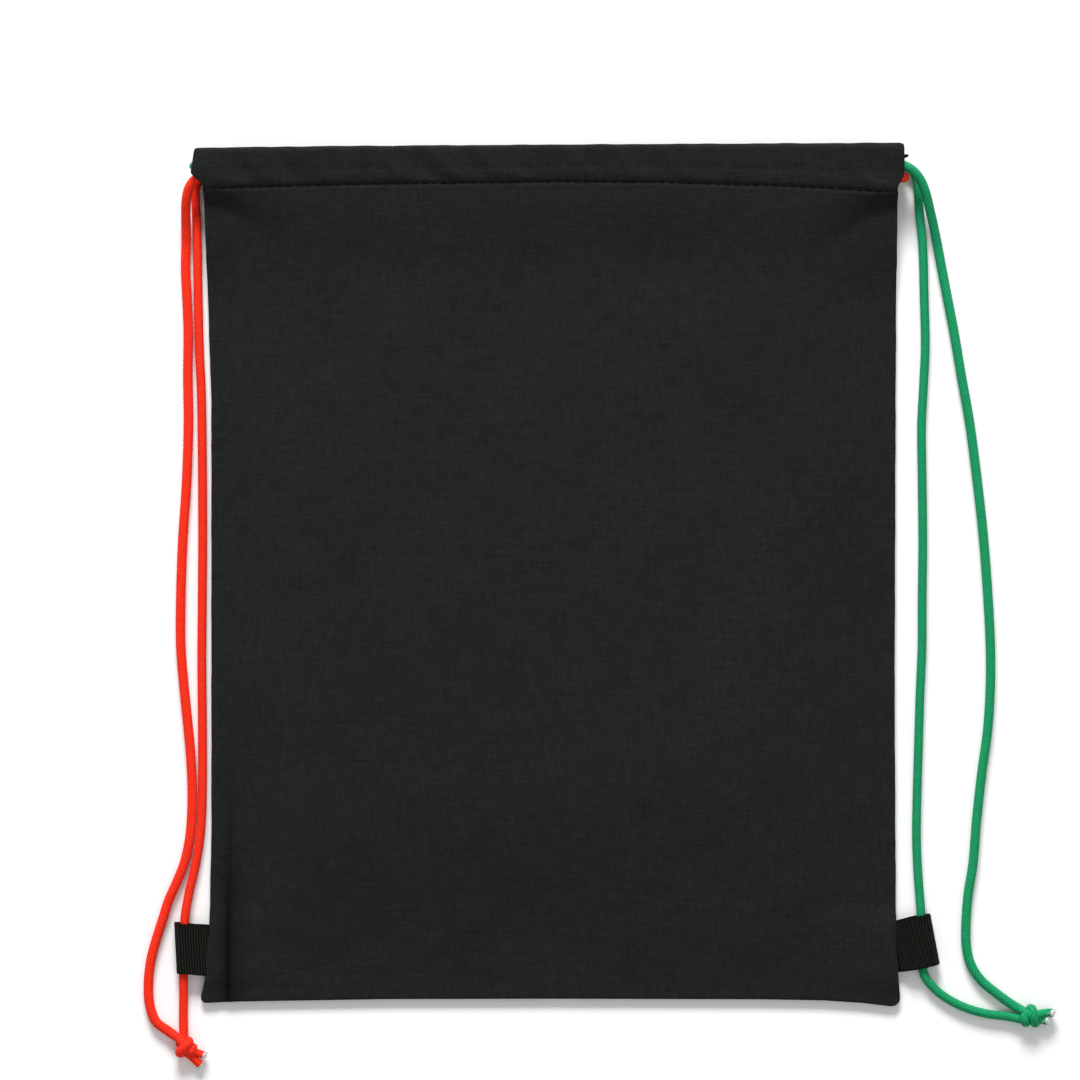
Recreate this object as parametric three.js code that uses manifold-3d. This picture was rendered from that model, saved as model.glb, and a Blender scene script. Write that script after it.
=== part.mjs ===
// A drawstring gym bag lying flat with its mouth towards +Y. Two cotton panels are seamed on
// three sides, and each has a casing along the mouth, a piece of its own from the stitch line
// over the crest to its hem. Two drawcords run through both casings, one out of each side, and
// each ends in a knot after passing a webbing tab near the bottom.
// Units are millimetres, +Z is up, and Z = 0 is the surface that the bag lies on.
import * as THREE from "three";
import Module from "manifold-3d";
import { mergeVertices } from "three/addons/utils/BufferGeometryUtils.js";

const wasm = await Module();
wasm.setup();

// ---- driving dimensions -------------------------------------------------------------------
const WIDTH = 337.4; // across the body, seam fold to seam fold
const LENGTH = 420.5; // bottom fold to the crest of the casing
const CLOTH = 0.6; // thickness of one layer
const LAYER_GAP = 0.3; // between two layers that lie on each other
const ALLOWANCE = 9; // seam allowance turned inside the bag
const LOFT = 11.6; // height of the front panel's middle surface away from the seams
const RISE = 30; // distance from a seam in which the front panel reaches its loft
const CORD = 4.5; // cord diameter
const CORD_SIDES = 8; // facets round a cord
const CORD_FIT = 0.35; // between a cord and the cloth above and below it
const CORD_PITCH = 5.5; // between the two cords in one casing
const CASING = 19.7; // stitch line to crest
const CASING_END = { left: 8.3, right: 4.3 }; // how far the casing stands past the body
const CASING_HEM = 3.3; // hem layer below the stitch line
const CASING_SLANT = 0.7; // the casing's end widens over this share of a cord above the cords
const STITCH_FLAT = 1.5; // level cloth below the stitch line
const MOUTH_GAP = 4.4; // between the back casing and the front casing
const SEAM_DROP = 7.55; // from the stitch line down to the top of the side seams
const SEAM_LIFT = 3; // how far the side seams rise at their top end
const TAB_WIDTH = 25; // width of the webbing
const TAB_REACH = { left: 17.5, right: 19.2 }; // tab's fold beyond the seam
const TAB_CLOTH = 0.8; // webbing thickness
const TAB_ROOM = 0.9; // beside a cord in the tab's loop
const TAB_UP = 27.55; // from the bottom fold up to the middle of both tabs
const THREAD = 0.5; // thickness of a sewing thread line
const KNOT = 5.4; // radius of a knot

// ---- places that follow from them ----------------------------------------------------------
const HALF = WIDTH / 2;
const BOTTOM = -LENGTH / 2;
const CREST = LENGTH / 2;
const LAYER = CLOTH + LAYER_GAP;
const FOLD = LAYER / 2; // middle radius of a folded edge
const EDGE_X = HALF - FOLD - CLOTH / 2; // where the side folds begin
const EDGE_Y = BOTTOM + FOLD + CLOTH / 2;
const BACK_Z = CLOTH / 2;
const FRONT_Z = BACK_Z + 3 * LAYER; // front panel at the seams, above both allowances
const BORE = CORD / 2 + CORD_FIT + CLOTH / 2; // middle radius of the casing around a cord
const STITCH_Y = CREST - CASING;
const SEAM_TOP = STITCH_Y - SEAM_DROP;
const CREST_Y = CREST - BORE - CLOTH / 2; // centre of the casing's rounded crest
const RED_Y = STITCH_Y + 0.4 + CLOTH + CORD_FIT * 2 + CORD / 2 + 0.75;
const GREEN_Y = RED_Y + CORD_PITCH;
const BACK_CORD_Z = CLOTH + CORD_FIT + CORD / 2;
const CASING_HEIGHT = 2 * BORE + CLOTH;
const FLAT_Y = STITCH_Y - STITCH_FLAT; // where the body reaches its casing's level
const FRONT_CORD_Z = BACK_CORD_Z + CASING_HEIGHT + MOUTH_GAP;
const SPLIT_X = HALF - 2.5; // where a cord's run in the casing meets what leaves the casing
const TAB_Y = BOTTOM + TAB_UP;
const TAB_HEIGHT = CORD + TAB_ROOM + 2 * TAB_CLOTH;
const TAB_LIFT = 2 * TAB_CLOTH + LAYER_GAP; // room the tab's ends take in the seam

const smooth = (t) => {
  const c = Math.min(1, Math.max(0, t));
  return c * c * (3 - 2 * c);
};
const lerp = (a, b, t) => a + (b - a) * t;

// ---- geometry helpers ----------------------------------------------------------------------
function closedGeometry(positions, triangles) {
  const geometry = new THREE.BufferGeometry();
  geometry.setAttribute("position", new THREE.Float32BufferAttribute(positions, 3));
  geometry.setIndex(triangles);
  geometry.computeVertexNormals();
  return geometry;
}

// Gives a grid of middle points a thickness. present(i, j) says which cells are cloth.
function thicken(points, present, thickness) {
  const columns = points.length;
  const rows = points[0].length;
  const has = (i, j) => i >= 0 && j >= 0 && i < columns - 1 && j < rows - 1 && present(i, j);
  const touches = (i, j) => has(i, j) || has(i - 1, j) || has(i, j - 1) || has(i - 1, j - 1);
  const normalAt = (i, j) => {
    const normal = new THREE.Vector3();
    for (const [ci, cj] of [[i, j], [i - 1, j], [i, j - 1], [i - 1, j - 1]]) {
      if (!has(ci, cj)) continue;
      const across = points[ci + 1][cj + 1].clone().sub(points[ci][cj]);
      const other = points[ci][cj + 1].clone().sub(points[ci + 1][cj]);
      normal.add(across.cross(other).normalize());
    }
    return normal.normalize();
  };
  const positions = [];
  const index = points.map((column) => column.map(() => -1));
  for (let i = 0; i < columns; i++) {
    for (let j = 0; j < rows; j++) {
      if (!touches(i, j)) continue;
      const normal = normalAt(i, j).multiplyScalar(thickness / 2);
      index[i][j] = positions.length / 3;
      positions.push(...points[i][j].clone().add(normal));
      positions.push(...points[i][j].clone().sub(normal));
    }
  }
  const triangles = [];
  const quad = (a, b, c, d) => triangles.push(a, b, c, a, c, d);
  for (let i = 0; i < columns - 1; i++) {
    for (let j = 0; j < rows - 1; j++) {
      if (!has(i, j)) continue;
      const a = index[i][j];
      const b = index[i + 1][j];
      const c = index[i + 1][j + 1];
      const d = index[i][j + 1];
      quad(a, b, c, d);
      quad(a + 1, d + 1, c + 1, b + 1);
      if (!has(i, j - 1)) quad(b, a, a + 1, b + 1);
      if (!has(i + 1, j)) quad(c, b, b + 1, c + 1);
      if (!has(i, j + 1)) quad(d, c, c + 1, d + 1);
      if (!has(i - 1, j)) quad(a, d, d + 1, a + 1);
    }
  }
  return closedGeometry(positions, triangles);
}

function toManifold(geometry) {
  const bare = geometry.clone();
  bare.deleteAttribute("normal");
  bare.deleteAttribute("uv");
  const merged = mergeVertices(bare, 1e-4);
  return new wasm.Manifold(
    new wasm.Mesh({
      numProp: 3,
      vertProperties: new Float32Array(merged.attributes.position.array),
      triVerts: new Uint32Array(merged.index.array),
    }),
  );
}

function fromManifold(solid) {
  const mesh = solid.getMesh();
  return closedGeometry(Array.from(mesh.vertProperties), Array.from(mesh.triVerts));
}

const curveThrough = (points) =>
  new THREE.CatmullRomCurve3(points.map((p) => new THREE.Vector3(...p)), false, "centripetal");

function cordTube(points) {
  const curve = curveThrough(points);
  const section = new THREE.Shape();
  section.absarc(0, 0, CORD / 2, 0, 2 * Math.PI, false);
  const steps = Math.max(4, Math.min(80, Math.round(curve.getLength() / (2.4 * CORD))));
  return new THREE.ExtrudeGeometry(section, {
    curveSegments: CORD_SIDES / 2,
    steps,
    bevelEnabled: false,
    extrudePath: curve,
  });
}

function threadBar(points, wide, high) {
  const positions = [];
  const triangles = [];
  points.forEach(([x, y, z], k) => {
    const [ax, ay] = points[Math.max(0, k - 1)];
    const [bx, by] = points[Math.min(points.length - 1, k + 1)];
    const long = Math.hypot(bx - ax, by - ay);
    const sx = (-(by - ay) / long) * (wide / 2);
    const sy = ((bx - ax) / long) * (wide / 2);
    positions.push(x + sx, y + sy, z, x - sx, y - sy, z);
    positions.push(x - sx, y - sy, z + high, x + sx, y + sy, z + high);
    if (k === 0) return;
    for (let s = 0; s < 4; s++) {
      const a = 4 * (k - 1) + s;
      const b = 4 * (k - 1) + ((s + 1) % 4);
      triangles.push(a, a + 4, b + 4, a, b + 4, b);
    }
  });
  const last = 4 * (points.length - 1);
  triangles.push(0, 1, 2, 0, 2, 3, last, last + 2, last + 1, last, last + 3, last + 2);
  return closedGeometry(positions, triangles);
}

// ---- the two panels and their casings ------------------------------------------------------
const awayFromSide = (x) => smooth((EDGE_X - Math.abs(x)) / RISE);
const seamRise = (y) => SEAM_LIFT * smooth((y - (SEAM_TOP - RISE)) / RISE);
const tabRise = (y) => TAB_LIFT * smooth((TAB_WIDTH / 2 + 9 - Math.abs(y - TAB_Y)) / 8);

function frontHeight(x, y) {
  const edge = FRONT_Z + seamRise(y) + tabRise(y) * (1 - awayFromSide(x));
  const body = lerp(edge, LOFT, awayFromSide(x) * smooth((y - EDGE_Y) / RISE));
  const from = SEAM_TOP - (RISE / 2) * awayFromSide(x);
  return lerp(body, FRONT_CORD_Z + LAYER / 2, smooth((y - from) / (FLAT_Y - from)));
}

function backHeight(x, y) {
  const lift = seamRise(y) * (1 - awayFromSide(x));
  return BACK_Z + lift * (1 - smooth((y - SEAM_TOP) / (FLAT_Y - SEAM_TOP)));
}

// The casing's section as [y, z from the cord's height], from the stitch line over the crest
// and back to it. It pinches to two layers at the stitch line.
function casingSection(isFront) {
  const shoulder = [];
  for (const turn of [165, 140, 115, 90]) {
    const angle = THREE.MathUtils.degToRad(turn);
    shoulder.push([RED_Y + BORE * Math.cos(angle), BORE * Math.sin(angle)]);
  }
  shoulder.push([RED_Y + CASING_SLANT * CORD, BORE]);
  const crest = [];
  for (let turn = 90; turn >= -90; turn -= 30) {
    const angle = THREE.MathUtils.degToRad(turn);
    crest.push([CREST_Y + BORE * Math.cos(angle), BORE * Math.sin(angle)]);
  }
  const hem = shoulder.map(([y, z]) => [y, -z]).reverse();
  if (isFront) {
    const pinch = LAYER / 2;
    return [[STITCH_Y, pinch], ...shoulder, ...crest, ...hem, [STITCH_Y, -pinch]];
  }
  const flat = -BORE;
  const low = flat + LAYER;
  const lower = [[STITCH_Y, flat], [RED_Y, flat], [RED_Y + CASING_SLANT * CORD, flat]];
  const over = crest.map(([y, z]) => [y, -z]);
  const upper = hem.map(([y, z]) => [y, -z]);
  return [...lower, ...over, ...upper, [STITCH_Y, low]];
}

const lipTurns = [45, 90, 135, 180].map((degrees) => THREE.MathUtils.degToRad(degrees));
const lipFold = lipTurns.map((angle) => [FOLD * Math.sin(angle), FOLD * (1 - Math.cos(angle))]);
const LIP = [...lipFold, [-(ALLOWANCE - CLOTH), LAYER]]; // beyond the fold, turned inside

// Columns from the left edge to the right one. Those past the side folds make the lips, and
// share says how far along its lip a column is.
const halfX = [0, 70, EDGE_X - RISE, EDGE_X - 0.7 * RISE, EDGE_X - 0.4 * RISE];
halfX.push(EDGE_X - 0.17 * RISE, EDGE_X);
const halfColumns = halfX.map((x) => ({ x, beyond: 0, turned: 0, share: 0 }));
LIP.forEach(([beyond, turned], k) => {
  halfColumns.push({ x: EDGE_X, beyond, turned, share: (k + 1) / LIP.length });
});
const COLUMNS = [
  ...halfColumns.slice(1).reverse().map((column) => ({ ...column, side: -1 })),
  ...halfColumns.map((column) => ({ ...column, side: 1 })),
];
const fromMiddle = (i) => Math.abs(i + 0.5 - (COLUMNS.length >> 1));
const isLip = (i) => fromMiddle(i) > halfX.length - 1;
const nearEdge = (i) => fromMiddle(i) > halfX.length - 2;
const nearSide = (i) => fromMiddle(i) > halfX.length - 3;

// The body of a panel, with its seam allowances, up to the stitch line.
function panel(isFront) {
  const inward = isFront ? -1 : 1; // the way to the inside of the bag
  const height = isFront ? frontHeight : backHeight;
  const bodyY = [EDGE_Y, EDGE_Y + 5, EDGE_Y + 10];
  bodyY.push(TAB_Y - TAB_WIDTH / 2 - 1, TAB_Y, TAB_Y + TAB_WIDTH / 2 + 1);
  bodyY.push(TAB_Y + TAB_WIDTH / 2 + 9, -120, -50, 20, 90, SEAM_TOP - RISE);
  bodyY.push(SEAM_TOP - 0.7 * RISE, SEAM_TOP - RISE / 2, SEAM_TOP - 0.25 * RISE, SEAM_TOP);
  bodyY.push(STITCH_Y - CASING_HEM, FLAT_Y, STITCH_Y - LAYER_GAP);
  const rows = LIP.map(([beyond, turned]) => ({ y: EDGE_Y, beyond, turned })).reverse();
  const firstBody = rows.length;
  bodyY.forEach((y) => rows.push({ y, beyond: 0, turned: 0 }));
  const seamRow = firstBody + bodyY.indexOf(SEAM_TOP);

  const points = COLUMNS.map(({ x, beyond, turned, side }) =>
    rows.map((row) => {
      const z = height(x, row.y) + inward * (turned + row.turned);
      return new THREE.Vector3(side * (x + beyond), row.y - row.beyond, z);
    }),
  );
  const present = (i, j) => {
    if (j < firstBody) return !nearSide(i);
    if (j < seamRow) return !isLip(i) || j > firstBody;
    return !isLip(i);
  };
  return thicken(points, present, CLOTH);
}

// The casing of a panel: a tube that is open at both ends, and its hem, a layer below the
// stitch line on the body's inner side.
function casing(isFront) {
  const cordZ = isFront ? FRONT_CORD_Z : BACK_CORD_Z;
  const hemY = STITCH_Y - CASING_HEM;
  const section = casingSection(isFront);
  const innerFrom = section.findIndex(([y], k) => k > 6 && y < CREST_Y - 0.1) - 1;
  const points = COLUMNS.map(({ x, share, side }) => {
    const end = CASING_END[side < 0 ? "left" : "right"] + HALF - EDGE_X;
    const column = section.map(([y, z]) => {
      const full = smooth((y - RED_Y) / (CASING_SLANT * CORD));
      const out = x + share * lerp(FOLD, end, full);
      return new THREE.Vector3(side * out, y, cordZ + z);
    });
    const hemZ = isFront ? frontHeight(x, hemY) - LAYER : backHeight(x, hemY) + LAYER;
    return [...column, new THREE.Vector3(side * x, hemY, hemZ)];
  });
  const present = (i, j) => {
    if (j === section.length - 1) return !nearSide(i);
    return j < innerFrom || !nearEdge(i);
  };
  return thicken(points, present, CLOTH);
}

// ---- sewing threads --------------------------------------------------------------------------
function casingThread(isFront) {
  const z = isFront
    ? FRONT_CORD_Z + LAYER / 2 + CLOTH + LAYER_GAP
    : BACK_Z + LAYER + CLOTH / 2 + LAYER_GAP + 0.2;
  const y = isFront ? STITCH_Y - 0.6 : STITCH_Y - CASING_HEM / 2;
  const count = 8;
  const points = [];
  for (let k = 0; k <= count; k++) points.push([lerp(-EDGE_X + 6, EDGE_X - 6, k / count), y, z]);
  return threadBar(points, THREAD * 1.4, THREAD);
}

function sideSeamThread(side) {
  const x = side * (HALF - ALLOWANCE - CLOTH - LAYER_GAP - THREAD / 2);
  const points = [];
  const count = 12;
  for (let k = 0; k <= count; k++) {
    const y = lerp(EDGE_Y + 12, SEAM_TOP - 3, k / count);
    points.push([x, y, BACK_Z + CLOTH / 2 + LAYER_GAP + seamRise(y)]);
  }
  return threadBar(points, THREAD, LAYER + CLOTH / 2);
}

function bottomSeamThread() {
  const y = BOTTOM + ALLOWANCE + CLOTH + LAYER_GAP + THREAD / 2;
  const end = EDGE_X - 0.45 * RISE;
  const z = BACK_Z + CLOTH / 2 + LAYER_GAP;
  return threadBar([[-end, y, z], [0, y, z], [end, y, z]], THREAD, LAYER + CLOTH / 2);
}

// ---- webbing tabs ----------------------------------------------------------------------------
// The section runs out from the side seam: two layers in the seam, then a loop whose lower
// side lies on the surface. It is drawn with u outwards from the seam fold and z upwards.
function tab(side) {
  const reach = TAB_REACH[side < 0 ? "left" : "right"];
  const low = BACK_Z + LAYER + CLOTH / 2 + LAYER_GAP; // underside of the webbing in the seam
  const high = low + 2 * TAB_CLOTH;
  const inner = -(ALLOWANCE - LAYER_GAP);
  const round = TAB_HEIGHT / 2;
  const outline = new THREE.Shape();
  outline.moveTo(inner, low);
  outline.lineTo(0.6, low);
  outline.lineTo(4.6, 0);
  outline.lineTo(reach - round, 0);
  outline.absarc(reach - round, round, round, -Math.PI / 2, Math.PI / 2, false);
  outline.lineTo(5.6, TAB_HEIGHT - 0.4);
  outline.lineTo(0.6, high);
  outline.lineTo(inner, high);
  outline.closePath();
  const hole = new THREE.Path();
  const bore = round - TAB_CLOTH;
  hole.moveTo(1.9, low + TAB_CLOTH);
  hole.lineTo(5.7, TAB_HEIGHT - 0.4 - TAB_CLOTH);
  hole.lineTo(reach - round, TAB_HEIGHT - TAB_CLOTH);
  hole.absarc(reach - round, round, bore, Math.PI / 2, -Math.PI / 2, true);
  hole.lineTo(4.9, TAB_CLOTH);
  hole.closePath();
  outline.holes.push(hole);
  const geometry = new THREE.ExtrudeGeometry(outline, {
    depth: TAB_WIDTH,
    bevelEnabled: false,
    curveSegments: 8,
  });
  // section u, z and depth become X, Z and Y, measured from the seam fold
  geometry.rotateX(Math.PI / 2);
  geometry.translate(0, TAB_WIDTH / 2, 0);
  if (side < 0) geometry.rotateZ(Math.PI);
  geometry.translate(side * HALF, TAB_Y, 0);
  return geometry;
}

// ---- drawcords -------------------------------------------------------------------------------
// Each free strand is a list of chosen points from the casing's mouth to the knot.
const REST = CORD / 2 + 0.1; // height of a cord that lies on the surface
const IN_TAB = TAB_CLOTH + LAYER_GAP + CORD / 2;
const RED_FRONT = [
  [-SPLIT_X - 0.3, RED_Y, FRONT_CORD_Z], [-171.5, 195.4, 13.9], [-175.9, 193.6, 13.3],
  [-178.9, 189.6, 12.1], [-180.3, 184.4, 10.3], [-180.8, 177.5, 7.6], [-180.9, 170, 4.9],
  [-181, 162, 2.9], [-181.3, 152, REST], [-180.6, 136, REST], [-180, 120, REST],
  [-180.2, 98, REST], [-179.9, 76, REST], [-180.8, 46, REST], [-182.7, 17, REST],
  [-183.7, -13, REST], [-183.7, -35, REST], [-182.5, -51, REST], [-180.6, -70, REST],
  [-178.9, -88, REST], [-178.1, -103, REST], [-178.2, -117, REST], [-179.3, -130, REST],
  [-181.9, -142, REST], [-185.8, -152, REST], [-189.6, -160.5, REST], [-192.6, -170, REST],
  [-195.8, -180, REST], [-198.4, -190, REST], [-199.6, -201, REST], [-199, -212, REST],
  [-195.8, -220.5, REST], [-190.5, -224.6, REST], [-186.6, -227.2, 3],
];
const RED_BACK = [
  [-SPLIT_X - 0.3, RED_Y, BACK_CORD_Z], [-171.2, 195.4, 3.2], [-174.9, 193.3, 3.1],
  [-176.5, 189.2, 2.8], [-176.4, 184, 2.4], [-175.9, 174, REST], [-175.5, 160, REST],
  [-175.1, 135, REST], [-174.6, 113, REST], [-173.6, 91, REST], [-173.1, 61, REST],
  [-172.9, 17, REST], [-173.1, -13, REST], [-173.3, -42, REST], [-173, -79, REST],
  [-173, -101, REST], [-173.3, -117, REST], [-174.4, -131, REST], [-176.8, -145, 2.3],
  [-179.4, -156, 2.7], [-181.2, -166, IN_TAB], [-182, -175, IN_TAB], [-182.2, -190, IN_TAB],
  [-182.3, -199, IN_TAB - 0.2], [-182.3, -208, 2.5], [-182.4, -217, REST],
  [-182.2, -227.2, 3],
];
const GREEN_FRONT = [
  [SPLIT_X + 0.3, GREEN_Y, FRONT_CORD_Z], [171.2, 200.8, 13.9], [176.2, 198.2, 13.3],
  [180, 193.8, 12.1], [182.6, 188, 10.4], [184.9, 180, 7.7], [187.2, 171, 5],
  [189.4, 161, 2.9], [191.5, 150, REST], [194.4, 135, REST], [197.2, 120.5, REST],
  [201, 98, REST], [204.9, 76, REST], [208.8, 46.5, REST], [212, 17, REST],
  [214.2, -12.5, REST], [215.3, -35, REST], [215.3, -55, REST], [213.9, -77, REST],
  [211.3, -96, REST], [208.6, -120, REST], [206.8, -142, REST], [204.3, -158, REST],
  [203.3, -172, REST], [203.4, -182, REST], [205.2, -191, REST], [210.2, -199.4, REST],
  [218, -206.2, REST], [226, -212, REST], [230.4, -214.6, 3],
];
const GREEN_BACK = [
  [SPLIT_X + 0.3, GREEN_Y, BACK_CORD_Z], [172.5, 200.8, 3.2], [176.8, 198.9, 3.1],
  [179, 194.6, 2.9], [179.7, 188.5, 2.6], [180.6, 176, REST], [181.9, 163, REST],
  [182.7, 136, REST], [183.2, 113, REST], [182.3, 92, REST], [181.4, 74, REST],
  [181.7, 46, REST], [182, 17, REST], [181.7, -13, REST], [181.6, -36, REST],
  [180.6, -60, REST], [179.9, -84, REST], [179.2, -108, REST], [178.9, -130, REST],
  [179.6, -147, 2.4], [180.4, -158, 2.8], [181, -166, IN_TAB], [181.3, -178, IN_TAB],
  [181.7, -190, IN_TAB], [182.8, -197.5, IN_TAB - 0.3], [187.4, -203.8, 2.5],
  [195, -209.6, REST], [204, -213.9, REST], [214, -216.6, REST], [223, -217.7, REST],
  [229.2, -218.9, 3],
];

// The stretch inside one casing, from mouth to mouth.
const casingRun = (y, z) => {
  const points = [];
  for (let k = 0; k <= 4; k++) points.push([lerp(-SPLIT_X, SPLIT_X, k / 4), y, z]);
  return cordTube(points);
};

// The turn from the front casing to the back casing, round the end that the cord doesn't leave.
function farLoop(side, y) {
  const radius = (FRONT_CORD_Z - BACK_CORD_Z) / 2;
  const reach = HALF + CASING_END[side < 0 ? "left" : "right"] + 2 - CORD / 2;
  const points = [[side * (SPLIT_X + 0.3), y, BACK_CORD_Z]];
  for (let turn = -90; turn <= 90; turn += 22.5) {
    const angle = THREE.MathUtils.degToRad(turn);
    const x = reach - radius + radius * Math.cos(angle);
    points.push([side * x, y, BACK_CORD_Z + radius + radius * Math.sin(angle)]);
  }
  points.push([side * (SPLIT_X + 0.3), y, FRONT_CORD_Z]);
  return cordTube(points);
}

// A knot with its two short ends, made as one solid.
function knot(centre, tails) {
  const ball = new THREE.SphereGeometry(KNOT, 14, 10);
  ball.scale(1, 1, 0.9);
  ball.translate(...centre);
  const inside = [centre[0], centre[1], REST + 1];
  const ends = tails.map((tail) => toManifold(cordTube([inside, [...tail, REST + 0.2]])));
  return fromManifold(ends.reduce((solid, end) => solid.add(end), toManifold(ball)));
}

// ---- materials and assembly --------------------------------------------------------------------
const finish = (color, roughness) =>
  new THREE.MeshStandardMaterial({ color, roughness, metalness: 0 });
const cotton = finish(0x242625, 0.92);
const webbing = finish(0x1a1a18, 0.85);
const thread = finish(0x191a1a, 0.8);
const redBraid = finish(0xe8331a, 0.75);
const greenBraid = finish(0x188f5a, 0.75);

const bag = new THREE.Group();
function add(name, geometry, material) {
  const mesh = new THREE.Mesh(geometry, material);
  mesh.name = name;
  bag.add(mesh);
}

add("front_panel", panel(true), cotton);
add("front_casing", casing(true), cotton);
add("back_panel", panel(false), cotton);
add("back_casing", casing(false), cotton);
add("front_casing_stitching", casingThread(true), thread);
add("back_casing_stitching", casingThread(false), thread);
add("left_seam_stitching", sideSeamThread(-1), thread);
add("right_seam_stitching", sideSeamThread(1), thread);
add("bottom_seam_stitching", bottomSeamThread(), thread);
add("left_tab", tab(-1), webbing);
add("right_tab", tab(1), webbing);

const cords = [
  {
    name: "red_cord", material: redBraid, y: RED_Y, farSide: 1, front: RED_FRONT,
    back: RED_BACK, knotAt: [-181.9, -232.9, 5], tails: [[-171.5, -236.6], [-173.6, -242.4]],
  },
  {
    name: "green_cord", material: greenBraid, y: GREEN_Y, farSide: -1, front: GREEN_FRONT,
    back: GREEN_BACK, knotAt: [235.2, -217.3, 5], tails: [[246.6, -214.6], [244.6, -220.6]],
  },
];
for (const cord of cords) {
  add(`${cord.name}_front_strand`, cordTube(cord.front), cord.material);
  add(`${cord.name}_front_run`, casingRun(cord.y, FRONT_CORD_Z), cord.material);
  add(`${cord.name}_far_loop`, farLoop(cord.farSide, cord.y), cord.material);
  add(`${cord.name}_back_run`, casingRun(cord.y, BACK_CORD_Z), cord.material);
  add(`${cord.name}_back_strand`, cordTube(cord.back), cord.material);
  add(`${cord.name}_knot`, knot(cord.knotAt, cord.tails), cord.material);
}

export default bag;
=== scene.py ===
import math

import bpy
import numpy as np
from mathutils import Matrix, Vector


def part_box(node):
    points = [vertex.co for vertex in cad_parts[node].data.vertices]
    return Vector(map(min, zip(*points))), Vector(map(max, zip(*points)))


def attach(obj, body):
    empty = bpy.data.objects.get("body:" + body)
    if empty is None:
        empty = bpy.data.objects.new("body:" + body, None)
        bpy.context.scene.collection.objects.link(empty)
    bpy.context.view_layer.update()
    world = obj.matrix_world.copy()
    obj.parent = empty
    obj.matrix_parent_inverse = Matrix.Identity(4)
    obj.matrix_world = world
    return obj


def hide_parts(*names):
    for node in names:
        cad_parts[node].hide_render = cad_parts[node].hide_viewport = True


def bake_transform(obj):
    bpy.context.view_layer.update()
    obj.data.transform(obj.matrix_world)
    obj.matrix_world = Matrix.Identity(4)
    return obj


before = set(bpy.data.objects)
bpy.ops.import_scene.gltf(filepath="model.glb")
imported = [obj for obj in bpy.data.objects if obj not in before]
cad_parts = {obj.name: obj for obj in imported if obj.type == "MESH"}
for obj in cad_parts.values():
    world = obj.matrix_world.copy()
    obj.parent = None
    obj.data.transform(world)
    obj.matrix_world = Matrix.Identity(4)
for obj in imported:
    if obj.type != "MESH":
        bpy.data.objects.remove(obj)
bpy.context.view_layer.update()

# A drawstring gym bag lies flat with its mouth towards +Y. Lengths are in metres.

# ---- sizes of the bag, as the CAD model has them ----
WIDTH = 0.3374
HALF = WIDTH / 2
BOTTOM = -0.21025
CREST = 0.21025
CLOTH = 0.0006
LAYER = 0.0009  # from one layer of cloth to the next
FOLD = LAYER / 2
EDGE_X = HALF - FOLD - CLOTH / 2
EDGE_Y = BOTTOM + FOLD + CLOTH / 2
ALLOWANCE = 0.009
CASING_HEM = 0.0033
STITCH_Y = CREST - 0.0197
SEAM_TOP = 0.183
CASING_END = {"left": 0.0083, "right": 0.0043}  # how far the casing stands out past the seams
CORD = 0.0045
BORE = 0.0029
BACK_Z = CLOTH / 2
FRONT_Z = BACK_Z + 3 * LAYER
TAB_WIDTH = 0.025
TAB_REACH = {"left": 0.0175, "right": 0.0192}
TAB_CLOTH = 0.0008
TAB_HEIGHT = 0.007

# ---- sizes that only the looks have ----
FABRIC = 0.00045  # thickness of the cloth
LOFT = 0.0098  # height of the front cloth in the middle
RISE = 0.055  # distance from a side seam in which it gets there
BOTTOM_RISE = 0.11  # the same from the bottom seam
SEAM_LIFT = 0.006  # how far the side seams rise towards the casing
SEAM_LIFT_LENGTH = 0.05
SEWN_Y = STITCH_Y - 0.0006  # where the front's stitches lie
SEWN_HALF = 0.0006  # half the width of the line of painted shade along their groove
STITCH = 0.0046  # from one casing stitch to the next
THREAD = 0.00045
RIB = 0.0013  # from one rib of the webbing to the next
STRANDS = 8  # of one hand, round a cord
BRAID = 0.0023  # length of one crossing along a cord
CASING_RISE = 0.006  # from the stitch line to where the casing is at its full height
CASING_CORNER = 0.0019  # radius of the casing's corners
BODY_CORNER = {"left": 0.0036, "right": 0.0048}
TAB_Y = -0.184
TAB_SHIFT = {"left": -0.0013, "right": 0.0005}
TAB_LIFT = 2 * TAB_CLOTH + 0.0003  # how far a tab lifts the front's edge
# How far from square each tab's long edges and its outer end are.
TAB_SLANT = {
    "left": (math.radians(4.6), math.radians(3)),
    "right": (math.radians(12), math.radians(-10.6)),
}
LAID = 0.00235  # height of a cord's middle where it lies on the floor


def run_centre(node):
    low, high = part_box(node)
    return (low.y + high.y) / 2, (low.z + high.z) / 2


RED_Y, FRONT_CORD_Z = run_centre("red_cord_front_run")
GREEN_Y, BACK_CORD_Z = run_centre("green_cord_back_run")

# ---- camera ----
VIEW_CENTRE = (-0.00665, 0.017)
VIEW_WIDTH = 0.532
VIEW_LEVEL = 0.0035  # height at which the view is that wide
LENS = 150
SENSOR = 36


def add_object(name, data):
    obj = bpy.data.objects.new(name, data)
    bpy.context.scene.collection.objects.link(obj)
    return obj


camera_data = bpy.data.cameras.new("camera")
camera_data.lens = LENS
camera_data.sensor_width = SENSOR
camera = add_object("camera", camera_data)
camera.location = (*VIEW_CENTRE, VIEW_LEVEL + VIEW_WIDTH * LENS / SENSOR)
bpy.context.scene.camera = camera
bpy.context.scene.view_settings.view_transform = "Standard"

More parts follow.
